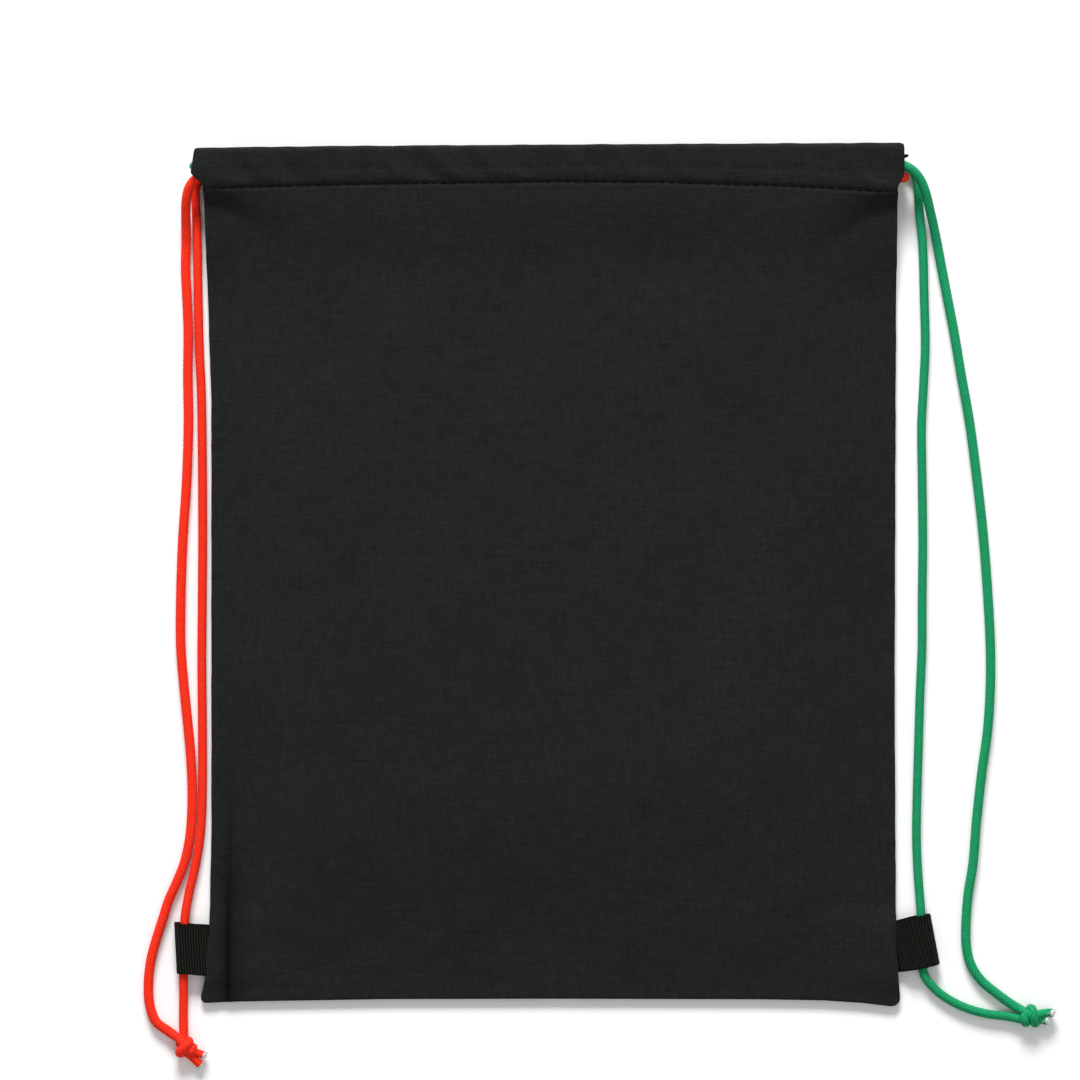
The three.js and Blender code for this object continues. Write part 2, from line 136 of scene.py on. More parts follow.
# ---- routes of the free strands, from the casing's mouth to the knot ----
# Colour, side, length, girth beside an even cord's, and points. A point without a height
# lies on the floor.
ROUTES = (
    ("red", "front", 0.443, 1.07, [
        (-0.1665, 0.19525, 0.014), (-0.1715, 0.1954, 0.0139), (-0.1759, 0.1936, 0.0133),
        (-0.1789, 0.1896, 0.0121), (-0.1803, 0.1844, 0.0103), (-0.1808, 0.1775, 0.0076),
        (-0.1809, 0.17, 0.0049), (-0.181, 0.162, 0.0029), (-0.1813, 0.152), (-0.1806, 0.136),
        (-0.18, 0.12), (-0.1802, 0.098), (-0.1799, 0.076), (-0.1808, 0.046), (-0.1827, 0.017),
        (-0.1837, -0.013), (-0.1837, -0.035), (-0.1825, -0.051), (-0.1806, -0.07),
        (-0.1789, -0.088), (-0.1781, -0.103), (-0.1782, -0.117), (-0.1793, -0.13),
        (-0.1819, -0.142), (-0.1858, -0.152), (-0.1896, -0.1605), (-0.1926, -0.17),
        (-0.1958, -0.18), (-0.1984, -0.19), (-0.1996, -0.201), (-0.199, -0.212),
        (-0.1958, -0.2205), (-0.1905, -0.2246), (-0.1866, -0.2272, 0.003),
    ]),
    ("red", "back", 0.431, 0.99, [
        (-0.1665, 0.19525, 0.0032), (-0.1712, 0.1954, 0.0032), (-0.1749, 0.1933, 0.0031),
        (-0.1765, 0.1892, 0.0028), (-0.1764, 0.184, 0.0024), (-0.1759, 0.174), (-0.1755, 0.16),
        (-0.1751, 0.135), (-0.1746, 0.113), (-0.1736, 0.091), (-0.1731, 0.061), (-0.1729, 0.017),
        (-0.1731, -0.013), (-0.1733, -0.042), (-0.173, -0.079), (-0.173, -0.101),
        (-0.1733, -0.117), (-0.1744, -0.131), (-0.1768, -0.145, 0.0023), (-0.1794, -0.156, 0.0027),
        (-0.1812, -0.166, 0.00335), (-0.182, -0.175, 0.00335), (-0.1822, -0.19, 0.00335),
        (-0.1823, -0.199, 0.00315), (-0.1823, -0.208, 0.0025), (-0.1824, -0.217),
        (-0.1822, -0.2272, 0.003),
    ]),
    ("green", "front", 0.442, 1.04, [
        (0.1665, 0.20075, 0.014), (0.1712, 0.2008, 0.0139), (0.1762, 0.1982, 0.0133),
        (0.18, 0.1938, 0.0121), (0.1826, 0.188, 0.0104), (0.1849, 0.18, 0.0077),
        (0.1872, 0.171, 0.005), (0.1894, 0.161, 0.0029), (0.1915, 0.15), (0.1944, 0.135),
        (0.1972, 0.1205), (0.201, 0.098), (0.2049, 0.076), (0.2088, 0.0465), (0.212, 0.017),
        (0.2142, -0.0125), (0.2153, -0.035), (0.2153, -0.055), (0.2139, -0.077), (0.2113, -0.096),
        (0.2086, -0.12), (0.2068, -0.142), (0.2043, -0.158), (0.2033, -0.172), (0.2034, -0.182),
        (0.2052, -0.191), (0.2102, -0.1994), (0.218, -0.2062), (0.226, -0.212),
        (0.2304, -0.2146, 0.003),
    ]),
    ("green", "back", 0.462, 0.97, [
        (0.1665, 0.20075, 0.0032), (0.1725, 0.2008, 0.0032), (0.1768, 0.1989, 0.0031),
        (0.179, 0.1946, 0.0029), (0.1797, 0.1885, 0.0026), (0.1806, 0.176), (0.1819, 0.163),
        (0.1827, 0.136), (0.1832, 0.113), (0.1823, 0.092), (0.1814, 0.074), (0.1817, 0.046),
        (0.182, 0.017), (0.1817, -0.013), (0.1816, -0.036), (0.1806, -0.06), (0.1799, -0.084),
        (0.1792, -0.108), (0.1789, -0.13), (0.1796, -0.147, 0.0024), (0.1804, -0.158, 0.0028),
        (0.181, -0.166, 0.00335), (0.1813, -0.178, 0.00335), (0.1817, -0.19, 0.00335),
        (0.1828, -0.1975, 0.00305), (0.1874, -0.2038, 0.0025), (0.195, -0.2096), (0.204, -0.2139),
        (0.214, -0.2166), (0.223, -0.2177), (0.2292, -0.2189, 0.003),
    ]),
)


# ---- meshes ----
class Shape:
    """Collects vertices, faces and their corners' UVs, and makes one object of them."""

    def __init__(self):
        self.vertices = []
        self.faces = []
        self.corners = []
        self.count = 0

    def add(self, vertices, blocks):
        for faces, uvs in blocks:
            self.faces.extend((faces + self.count).tolist())
            self.corners.append(uvs.reshape(-1, 2))
        self.vertices.append(vertices)
        self.count += len(vertices)

    def make(self, name, material, sharp=None):
        mesh = bpy.data.meshes.new(name)
        mesh.from_pydata(np.concatenate(self.vertices).tolist(), [], self.faces)
        layer = mesh.uv_layers.new(name="pattern")
        layer.data.foreach_set("uv", np.concatenate(self.corners).astype(np.float32).ravel())
        mesh.materials.append(material)
        mesh.shade_smooth()
        if sharp:
            mesh.set_sharp_from_angle(angle=math.radians(sharp))
        return add_object(name, mesh)


def smooth(t):
    c = np.clip(t, 0, 1)
    return c * c * (3 - 2 * c)


def lerp(a, b, t):
    return a + (b - a) * t


def hump(distance, width):
    """1 where the distance is 0, fading to 0 within about twice the width."""
    return np.exp(-((distance / width) ** 2))


def unit(v):
    return v / np.maximum(np.linalg.norm(v, axis=-1, keepdims=True), 1e-12)


def thicken(points, present, thickness, flat):
    """Gives a grid of middle points a thickness. present says which cells are there."""
    cell = np.cross(points[1:, 1:] - points[:-1, :-1], points[:-1, 1:] - points[1:, :-1])
    cell = unit(cell) * present[..., None]
    normal = np.zeros_like(points)
    used = np.zeros(points.shape[:2], bool)
    for i, j in ((0, 0), (1, 0), (0, 1), (1, 1)):
        part = (slice(i, i + cell.shape[0]), slice(j, j + cell.shape[1]))
        normal[part] += cell
        used[part] |= present
    normal = unit(normal)[used] * thickness / 2
    count = int(used.sum())
    index = np.full(used.shape, -1)
    index[used] = np.arange(count)
    vertices = np.concatenate([points[used] + normal, points[used] - normal])
    a, b, c, d = index[:-1, :-1], index[1:, :-1], index[1:, 1:], index[:-1, 1:]
    around = np.pad(present, 1)
    sides = (
        (b, a, around[1:-1, :-2]),
        (c, b, around[2:, 1:-1]),
        (d, c, around[1:-1, 2:]),
        (a, d, around[:-2, 1:-1]),
    )
    faces = [np.stack([a, b, c, d], -1)[present]]
    faces.append(np.stack([a + count, d + count, c + count, b + count], -1)[present])
    for p, q, neighbour in sides:
        edge = present & ~neighbour
        faces.append(np.stack([p, q, q + count, p + count], -1)[edge])
    faces = np.concatenate(faces)
    return vertices, [(faces, flat[used][faces % count])], used


def curve_through(points, step):
    """Points about one step apart on the centripetal Catmull-Rom curve of the CAD model."""
    points = np.array(points, float)
    ends = (2 * points[:1] - points[1:2], 2 * points[-1:] - points[-2:-1])
    padded = np.concatenate([ends[0], points, ends[1]])
    gap = np.sqrt(np.linalg.norm(np.diff(padded, axis=0), axis=1))[:, None]
    dense = []
    t = np.linspace(0, 1, 60, endpoint=False)[:, None]
    for k in range(len(points) - 1):
        p0, p1, p2, p3 = padded[k : k + 4]
        g0, g1, g2 = gap[k : k + 3]
        start = g1 * ((p1 - p0) / g0 - (p2 - p0) / (g0 + g1) + (p2 - p1) / g1)
        end = g1 * ((p2 - p1) / g1 - (p3 - p1) / (g1 + g2) + (p3 - p2) / g2)
        cubic = 2 * p1 - 2 * p2 + start + end
        square = 3 * (p2 - p1) - 2 * start - end
        dense.append(cubic * t**3 + square * t**2 + start * t + p1)
    dense.append(points[-1:])
    return evenly(np.concatenate(dense), step)


def lengths_along(path):
    return np.append(0, np.cumsum(np.linalg.norm(np.diff(path, axis=0), axis=1)))


def evenly(points, step):
    """Points one step apart on the line through the given ones."""
    along = lengths_along(points)
    stations = np.linspace(0, along[-1], max(2, round(along[-1] / step) + 1))
    return np.stack([np.interp(stations, along, points[:, k]) for k in range(3)], -1)


def carried_frames(path):
    """Two directions across the path at each of its points, carried along without twisting."""
    tangent = unit(np.gradient(path, axis=0))
    first = np.cross(tangent[0], (0, 0, 1.0))
    if np.linalg.norm(first) < 0.1:
        first = np.cross(tangent[0], (0, 1.0, 0))
    across = [first / np.linalg.norm(first)]
    for t in tangent[1:]:
        carried = across[-1] - t * np.dot(across[-1], t)
        across.append(carried / np.linalg.norm(carried))
    across = np.array(across)
    return across, np.cross(tangent, across)


def interlaced(a, b):
    """Height, 0 to 1, of two families of strands that pass over and under each other."""
    fa, fb = a % 1, b % 1
    over = (np.floor(a) + np.floor(b)) % 2 > 0.5
    across, along = np.where(over, fa, fb), np.where(over, fb, fa)
    return np.sin(np.pi * across) ** 0.7 * (0.55 + 0.45 * np.sin(np.pi * along))


def tube(shape, path, radius, sides, relief=0.0, start=0.0, hollow=0.0, press=1.0):
    """A closed tube. relief is how deep its braid is, hollow the depth of its cut end, and
    press how high it is for its width."""
    across, up = carried_frames(path)
    along = start + lengths_along(path)
    share = np.arange(sides) / sides
    angle = 2 * np.pi * share
    size = np.broadcast_to(np.asarray(radius, float), (len(path),))[:, None]
    if relief:
        turn, far = np.meshgrid(share * STRANDS, along / BRAID)
        size = size + relief * (interlaced(turn + far, turn - far) - 0.75)
    around = np.cos(angle)[None, :, None] * across[:, None]
    around = around + np.sin(angle)[None, :, None] * up[:, None]
    rings = path[:, None] + around * size[..., None] * (1, 1, press)
    count = len(path) * sides
    k, s = np.meshgrid(np.arange(len(path) - 1), np.arange(sides), indexing="ij")
    right = (s + 1) % sides
    quads = np.stack(
        [k * sides + s, (k + 1) * sides + s, (k + 1) * sides + right, k * sides + right], -1
    ).reshape(-1, 4)
    u = np.stack([s, s, s + 1, s + 1], -1) / sides
    v = np.stack([along[k], along[k + 1], along[k + 1], along[k]], -1)
    blocks = [(quads, np.stack([u, v], -1).reshape(-1, 4, 2))]
    tangent = unit(np.gradient(path, axis=0))
    centres = np.stack([path[0], path[-1] - tangent[-1] * hollow])
    ring = np.arange(sides)
    after = (ring + 1) % sides
    last = (len(path) - 1) * sides
    fans = (
        np.stack([np.full(sides, count), ring, after], -1),
        np.stack([np.full(sides, count + 1), last + after, last + ring], -1),
    )
    for fan, v_end in zip(fans, (along[0], along[-1])):
        uv = np.stack([np.stack([share] * 3, -1), np.full((sides, 3), v_end)], -1)
        blocks.append((fan, uv))
    shape.add(np.concatenate([rings.reshape(-1, 3), centres]), blocks)


# ---- materials ----
class Nodes:
    """A material's node tree, with a shader whose sockets are set by name."""

    def __init__(self, name, **sockets):
        self.material = bpy.data.materials.new(name)
        self.material.use_nodes = True
        self.tree = self.material.node_tree
        self.shader = self.tree.nodes["Principled BSDF"]
        for key, value in sockets.items():
            self.shader.inputs[key.replace("_", " ")].default_value = value

    def new(self, kind, *inputs, **settings):
        node = self.tree.nodes.new(kind)
        for key, value in settings.items():
            setattr(node, key, value)
        for socket, value in inputs:
            if isinstance(value, bpy.types.NodeSocket):
                self.tree.links.new(value, node.inputs[socket])
            else:
                node.inputs[socket].default_value = value
        return node

    def math(self, operation, a, b=0.0, c=0.0):
        inputs = ((0, a), (1, b), (2, c))
        return self.new("ShaderNodeMath", *inputs, operation=operation).outputs[0]

    def times(self, a, b):
        return self.math("MULTIPLY", a, b)

    def plus(self, a, b):
        return self.math("ADD", a, b)

    def scaled(self, value, spread, least):
        return self.math("MULTIPLY_ADD", value, spread, least)

    def noise(self, scale, detail=3.0, stretch=None):
        place = self.new("ShaderNodeTexCoord").outputs["Object"]
        if stretch:
            mapping = self.new("ShaderNodeMapping", ("Vector", place), ("Scale", stretch))
            place = mapping.outputs[0]
        inputs = (("Vector", place), ("Scale", scale), ("Detail", detail))
        return self.new("ShaderNodeTexNoise", *inputs).outputs["Fac"]

    def pattern(self):
        layer = self.new("ShaderNodeUVMap", uv_map="pattern").outputs[0]
        parts = self.new("ShaderNodeSeparateXYZ", (0, layer)).outputs
        return parts[0], parts[1]

    def interlaced(self, a, b):
        """Height of crossing strands, and 1 where the first family is on top, else 0."""
        fa, fb = self.math("FRACT", a), self.math("FRACT", b)
        cells = self.plus(self.math("FLOOR", a), self.math("FLOOR", b))
        over = self.math("GREATER_THAN", self.math("FLOORED_MODULO", cells, 2.0), 0.5)
        under = self.math("SUBTRACT", 1.0, over)

        def bow(p, q):
            chosen = self.plus(self.times(p, over), self.times(q, under))
            return self.math("SINE", self.times(chosen, math.pi))

        across = self.math("POWER", bow(fa, fb), 0.6)
        along = self.scaled(bow(fb, fa), 0.45, 0.55)
        return self.times(across, along), over

    def turning(self, wave, value):
        """SINE or COSINE of a value that counts whole turns."""
        return self.math(wave, self.times(value, 2 * math.pi))

    def ramp(self, value, *stops):
        """Colours between stops. A colour that is one number is a grey."""
        node = self.new("ShaderNodeValToRGB", (0, value))
        elements = node.color_ramp.elements
        while len(elements) < len(stops):
            elements.new(0.5)
        for element, (position, colour) in zip(elements, stops):
            element.position = position
            rgb = colour if isinstance(colour, tuple) else [colour] * 3
            element.color = (*rgb, 1)
        return node.outputs[0]

    def mix(self, factor, a, b, blend="MIX"):
        node = self.new("ShaderNodeMix", data_type="RGBA", blend_type=blend)
        for socket, value in ((0, factor), (6, a), (7, b)):
            if isinstance(value, bpy.types.NodeSocket):
                self.tree.links.new(value, node.inputs[socket])
            elif isinstance(value, tuple):
                node.inputs[socket].default_value = (*value, 1)
            else:
                node.inputs[socket].default_value = value
        return node.outputs[2]

    def tinted(self, colour, tint):
        return self.mix(1.0, colour, tint, "MULTIPLY")

    def finish(self, colour, roughness, *bumps):
        """Each bump is a height, its distance and its strength, the lowest first."""
        normal = None
        for height, distance, strength in bumps:
            inputs = [("Height", height), ("Distance", distance), ("Strength", strength)]
            if normal:
                inputs.append(("Normal", normal))
            normal = self.new("ShaderNodeBump", *inputs).outputs[0]
        for socket, value in (("Base Color", colour), ("Normal", normal), ("Roughness", roughness)):
            self.tree.links.new(value, self.shader.inputs[socket])
        return self.material


def cotton_material():
    yarn = 0.00055
    slub_scale, slub_detail, slub_length = 760.0, 2.0, 0.16
    n = Nodes("cotton", Specular_IOR_Level=0.04, Sheen_Weight=0.03, Sheen_Roughness=0.5)
    u, v = n.pattern()
    wobble = n.scaled(n.noise(260.0), 0.7, -0.35)
    a = n.plus(n.math("DIVIDE", u, yarn), wobble)
    b = n.plus(n.math("DIVIDE", v, yarn), wobble)
    height, _ = n.interlaced(a, b)
    slub_across = n.noise(slub_scale, slub_detail, (slub_length, 1.0, 1.0))
    slub_along = n.noise(slub_scale, slub_detail, (1.0, slub_length, 1.0))
    pile = n.noise(1100.0, 2.0)
    grain = n.plus(n.times(slub_across, 0.3), n.times(slub_along, 0.3))
    grain = n.plus(grain, n.times(pile, 0.4))
    base = n.ramp(grain, (0.34, (0.0091, 0.0097, 0.0094)), (0.66, (0.0188, 0.02, 0.0194)))
    clouds = n.ramp(n.noise(16.0, 5.0), (0.32, (0.95, 0.92, 0.93)), (0.68, (1.0, 1.07, 1.04)))
    colour = n.tinted(base, clouds)
    # painted shade and light: the colour is darker where the weave lies low and a little lighter on
    # the yarns' tops
    yarns = n.ramp(height, (0.0, 0.6), (0.6, 1.05))
    colour = n.tinted(colour, yarns)
    specks = n.math("GREATER_THAN", n.noise(1500.0, 1.0), 0.775)
    colour = n.mix(n.times(specks, 0.4), colour, (0.04, 0.04, 0.04))

    # the sewing attribute holds stitches along the seam, distance from it, and a shade factor: the
    # casing's tone, painted light on the slope above the stitches and painted shade along creases
    # and wrinkles
    sewing = n.new("ShaderNodeAttribute", attribute_name="sewing").outputs["Vector"]
    phase, off, shade = n.new("ShaderNodeSeparateXYZ", (0, sewing)).outputs
    far = n.math("POWER", n.math("DIVIDE", off, SEWN_HALF), 2.0)
    line = n.math("POWER", math.e, n.times(far, -1.0))
    beat = n.turning("COSINE", n.math("SUBTRACT", phase, 0.5))
    # painted shade: the colour is darkened along the stitches' groove, most at each stitch; the
    # same line is also the groove's bump
    stitch_groove_shade = n.times(line, n.scaled(beat, 0.45, 0.55))
    dim = n.times(n.scaled(stitch_groove_shade, -0.7, 1.0), shade)
    dimmed = n.new("ShaderNodeCombineXYZ", (0, dim), (1, dim), (2, dim)).outputs[0]
    colour = n.tinted(colour, dimmed)

    return n.finish(colour, n.scaled(grain, 0.12, 0.84), (height, 0.00016, 0.8),
                    (grain, 0.0006, 0.6), (n.noise(70.0, 4.0), 0.0012, 0.35),
                    (n.times(stitch_groove_shade, -1.0), 0.0003, 0.8))


def braid_material(name, lit_colour, shaded_colour, fleck):
    plies = 4.0  # yarns side by side in one strand
    n = Nodes(name, Specular_IOR_Level=0.14, Sheen_Weight=0.03, Sheen_Roughness=0.4)
    u, v = n.pattern()
    turn = n.times(u, float(STRANDS))
    far = n.math("DIVIDE", v, BRAID)
    a, b = n.plus(turn, far), n.math("SUBTRACT", turn, far)
    height, over = n.interlaced(a, b)
    between = tuple(lerp(p, q, 0.65) for p, q in zip(shaded_colour, lit_colour))
    # painted shade and light: lit and shaded copies of the cord's colour, the shaded one in the
    # gaps between strands and the lit one on their crowns
    colour = n.ramp(height, (0.08, shaded_colour), (0.45, between), (0.9, lit_colour))
    patch = n.noise(420.0, 3.0)
    tint = n.ramp(patch, (0.3, 0.88), (0.7, 1.06))
    colour = n.tinted(colour, tint)
    hair = n.math("GREATER_THAN", n.noise(2400.0, 1.0), 0.74)
    colour = n.mix(n.times(hair, 0.25), colour, fleck)
    on_top = n.plus(n.times(a, over), n.times(b, n.math("SUBTRACT", 1.0, over)))
    ply = n.turning("SINE", n.times(on_top, plies))
    return n.finish(colour, n.scaled(patch, 0.2, 0.6), (height, 0.0002, 0.7),
                    (ply, 0.00003, 0.5), (n.noise(3000.0, 2.0), 0.0001, 0.4))


def webbing_material():
    pick = 0.0008  # from one crossing yarn to the next along a rib
    n = Nodes("webbing", Specular_IOR_Level=0.03, Sheen_Weight=0.03, Sheen_Roughness=0.5)
    u, v = n.pattern()
    wave = n.math("SINE", n.times(u, 2 * math.pi / RIB))
    rib = n.math("POWER", n.scaled(wave, 0.5, 0.5), 2.0)
    height, _ = n.interlaced(n.math("DIVIDE", u, RIB / 2), n.math("DIVIDE", v, pick))
    shape = n.times(rib, n.scaled(height, 0.6, 0.4))
    # painted highlight and shade: near black between the ribs and yarns, brightest on their tops
    base = n.ramp(shape, (0.15, 0.0004), (0.9, (0.0172, 0.0174, 0.014)))
    dust = n.ramp(n.noise(1300.0, 3.0), (0.4, 0.7), (0.75, 1.5))
    colour = n.tinted(base, dust)
    return n.finish(colour, n.scaled(n.noise(500.0), 0.2, 0.62), (shape, 0.0003, 0.8),
                    (n.noise(2200.0, 2.0), 0.0001, 0.5))


def thread_material():
    lay = 0.0007  # length of one turn of the thread's two plies
    n = Nodes("thread", Specular_IOR_Level=0.04, Sheen_Weight=0.02)
    u, v = n.pattern()
    twist = n.plus(n.times(u, 2.0), n.math("DIVIDE", v, lay))
    shade = n.scaled(n.turning("SINE", twist), 0.5, 0.5)
    colour = n.ramp(shade, (0.0, 0.0012), (1.0, 0.0035))
    return n.finish(colour, n.scaled(n.noise(800.0), 0.2, 0.55), (shade, 0.0001, 0.8))


def core_material():
    n = Nodes("white_core", Specular_IOR_Level=0.2, Sheen_Weight=0.2, Sheen_Roughness=0.5)
    fibre = n.noise(2600.0, 3.0)
    colour = n.ramp(fibre, (0.3, (0.5, 0.5, 0.48)), (0.7, (0.85, 0.85, 0.83)))
    return n.finish(colour, n.scaled(n.noise(900.0), 0.2, 0.75), (fibre, 0.0003, 0.8))


COTTON = cotton_material()
THREAD_LOOK = thread_material()
WEBBING = webbing_material()
# For each cord: lit colour, shaded colour painted into the braid's gaps, and fleck colour
BRAIDS = {
    "red": braid_material("red_cord_braid", (0.97, 0.031, 0.009), (0.56, 0.012, 0.004),
                          (1.0, 0.16, 0.09)),
    "green": braid_material("green_cord_braid", (0.008, 0.335, 0.132), (0.002, 0.08, 0.032),
                            (0.1, 0.48, 0.26)),
}
CORE = core_material()


def follow_front(obj):
    """Moves the front piece's placement into its mesh."""
    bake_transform(obj)


def piece(shape, name, look, slot, *nodes, is_front=False, sharp=None):
    """An object that stands for some nodes of the CAD model, which it hides. A piece that is not of
    the front hangs on the bag's body.
    """
    obj = shape.make(name, look, sharp)
    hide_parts(*nodes)
    if is_front:
        follow_front(obj)
    else:
        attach(obj, "bag")
    return obj


def braided(shape, colour, node, is_front=False):
    name = node.replace("cord", "braid")
    return piece(shape, name, BRAIDS[colour], f"{colour}_braid", node, is_front=is_front)


# ---- cords ----
HALF_TURN = np.arange(-90, 91, 22.5)
ROUND = 40  # sides of a cord
RING = 0.00045  # from one ring of a cord to the next
RELIEF = 0.0002  # depth of the braid
SHEATH = CORD / 2 - 0.1 * RELIEF
PRESS = 0.98  # how high a free strand is for the width of an even one
HIDDEN_SHEATH = 0.9 * SHEATH  # in the casings, where the cloth presses on the cords
HIDDEN_ROUND = 16
HIDDEN_RING = 0.0015
CUT_DEPTH = 0.0009  # how far a cut sheath is hollow at its end
KNOT_REACH = 0.0026
KNOT_HEIGHT = 0.52  # of a knot's coil, where its width is 1
FIBRES = 34  # at each cut end
FIBRE_SEED = 11


def laid(points):
    return [point if len(point) == 3 else (*point, LAID) for point in points]


def strand(colour, side, points, girth, **facts):
    """A free strand, from inside the casing to the knot."""
    path = curve_through(points, RING)
    shape = Shape()
    tube(shape, path, SHEATH * girth, ROUND, RELIEF, press=PRESS / girth)
    obj = braided(shape, colour, f"{colour}_cord_{side}_strand")


def cut_end(cores, tip, direction):
    """The white core that stands out of a cut sheath, with loose fibres."""
    random = np.random.default_rng(FIBRE_SEED)
    direction = unit(np.array(direction, float))
    side = unit(np.cross(direction, (0, 0, 1.0)))
    up = np.cross(side, direction)
    length = np.linspace(-0.0016, 0.001, 7)
    body = tip + direction * length[:, None]
    tube(cores, body, (CORD / 2 - 0.0005) * np.array([1, 1, 1, 1, 0.96, 0.84, 0.55]), 14)
    for k in range(FIBRES):
        turn = 2.4 * k
        out = (CORD / 2 - 0.0006) * math.sqrt((k + 0.5) / FIBRES)
        root = tip + out * (side * math.cos(turn) + up * math.sin(turn))
        lean = unit(direction + 0.45 * random.normal(size=3))
        tall = 0.0013 + 0.0011 * random.random()
        bend = 0.0004 * random.normal(size=3)
        fibre = np.stack([root - direction * 0.0006, root + lean * tall * 0.5,
                          root + lean * tall + bend])
        fibre[:, 2] = np.maximum(fibre[:, 2], 0.00015)
        tube(cores, fibre, np.array([0.00016, 0.00013, 0.00006]), 5)


def knot(colour):
    """Both strands wrapped round themselves. The wrap is a coil about the knot's axis."""
    spec = KNOTS[colour]
    node = f"{colour}_cord_knot"
    axis = unit(np.array([*spec["axis"], 0.0]))
    across = np.array([-axis[1], axis[0], 0.0])
    shape = Shape()
    cores = Shape()
    t = np.linspace(0, 1, 90)
    turn = 2 * np.pi * (spec["first_turn"] + spec["turns"] * t)
    out = KNOT_REACH * smooth(t / 0.12) * smooth((1 - t) / 0.12) + 0.0008
    places = spec["centre"] + np.outer(spec["pitch"] * spec["turns"] * (t - 0.5), axis)
    places = places + np.outer(out * np.cos(turn), across)
    places[:, 2] += KNOT_HEIGHT * out * np.sin(turn)
    tube(shape, evenly(places, RING), SHEATH * spec["girth"], ROUND, RELIEF)
    for way in spec["ways"]:
        path = curve_through(way, RING)
        tail = np.linspace(0, 1, len(path))
        thin = lerp(1.0, spec["tail"], smooth((tail - 0.55) / 0.2))
        tube(shape, path, SHEATH * thin, ROUND, RELIEF, hollow=CUT_DEPTH)
        cut_end(cores, path[-1], path[-1] - path[-5])
    knot_obj = braided(shape, colour, node)
    core_obj = cores.make(node.replace("knot", "core_ends"), CORE)
    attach(core_obj, "bag")
    return [knot_obj, core_obj]


KNOTS = {
    "red": {
        "centre": (-0.1815, -0.2331, 0.0043),
        "axis": (0.58, -0.81),
        "turns": 1.5,
        "pitch": 0.004,
        "first_turn": 0.62,
        "girth": 1.08,
        "tail": 0.86,
        "ways": (
            [(-0.1867, -0.22712, 0.00297), (-0.1845, -0.2285, 0.004), (-0.1826, -0.2302, 0.0052),
             (-0.1812, -0.2326, 0.0052), (-0.1784, -0.2347, 0.0042), (-0.1754, -0.2357, 0.0031),
             (-0.1725, -0.2367, 0.0035)],
            [(-0.1822, -0.2271, 0.003), (-0.1826, -0.229, 0.0036), (-0.1821, -0.2318, 0.0044),
             (-0.18, -0.2356, 0.0036), (-0.1769, -0.239, 0.0027), (-0.1742, -0.2416, 0.0025)],
        ),
    },
    "green": {
        "centre": (0.235, -0.2172, 0.0043),
        "axis": (1.0, -0.06),
        "turns": 1.6,
        "pitch": 0.0047,
        "first_turn": 0.2,
        "girth": 1.06,
        "tail": 0.98,
        "ways": (
            [(0.2303, -0.21454, 0.00297), (0.2322, -0.2155, 0.0042), (0.235, -0.2168, 0.0056),
             (0.2382, -0.2168, 0.0046), (0.2414, -0.2162, 0.0036), (0.2438, -0.216, 0.0034),
             (0.2456, -0.2159, 0.0045)],
            [(0.2291, -0.21888, 0.003), (0.2318, -0.219, 0.0036), (0.2352, -0.2182, 0.004),
             (0.2386, -0.2189, 0.0034), (0.2412, -0.2194, 0.0029), (0.2431, -0.2196, 0.0041)],
        ),
    },
}

for colour, side, length, girth, points in ROUTES:
    end_pieces = knot(colour) if side == "front" else []
    strand(colour, side, laid(points), girth, length=length, with_pieces=end_pieces)


# ---- the cloth's outline and surface ----
# How far the bag's edges stray from the straight ones of the CAD model: places, then shifts.
LEFT_EDGE = ((-0.2096, -0.198, -0.175, -0.13, 0.085, 0.19, 0.193, 0.1952, 0.1984, 0.2105),
             (-0.0058, -0.003, -0.001, 0, 0, -0.0034, -0.0032, -0.0022, -0.0006, 0.0012))
RIGHT_EDGE = ((-0.2096, -0.185, -0.06, 0.085, 0.19, 0.1984, 0.2105),
              (0.0026, 0.0002, -0.0005, 0, 0.0005, -0.0011, -0.0013))
BOTTOM_EDGE = ((-0.168, -0.15, -0.08, 0, 0.1, 0.13, 0.15, 0.163, 0.17),
               (-0.0011, -0.0003, 0.0009, 0.0011, 0.0008, 0.0003, -0.001, -0.0026, -0.0028))
STITCH_LINE = ((-0.168, -0.09, 0.003, 0.052, 0.116, 0.168),
               (-0.0006, 0.0015, 0.0027, 0.0024, 0.0004, -0.0024))
CREST_LINE = ((-0.175, -0.11, 0, 0.172), (-0.0008, 0, 0.0007, 0.0017))


def stray(x, y):
    """Shift in x and in y of the cloth at x, y."""
    left = np.interp(y, *LEFT_EDGE) * smooth(-x / HALF)
    right = np.interp(y, *RIGHT_EDGE) * smooth(x / HALF)
    stitch = np.interp(x, *STITCH_LINE)
    up = np.interp(x, *BOTTOM_EDGE) * smooth((-0.15 - y) / 0.06)
    up = up + stitch * smooth((y - 0.09) / (STITCH_Y - 0.09))
    top = np.clip((y - STITCH_Y) / (CREST - STITCH_Y), 0, 1)
    up = up + (np.interp(x, *CREST_LINE) - stitch) * top
    return left + right, up


def ripples(x, y, table):
    total = 0
    for height, length, heading, phase in table:
        along = x * math.cos(heading) + y * math.sin(heading)
        total = total + height * np.sin(2 * np.pi * along / length + phase)
    return total


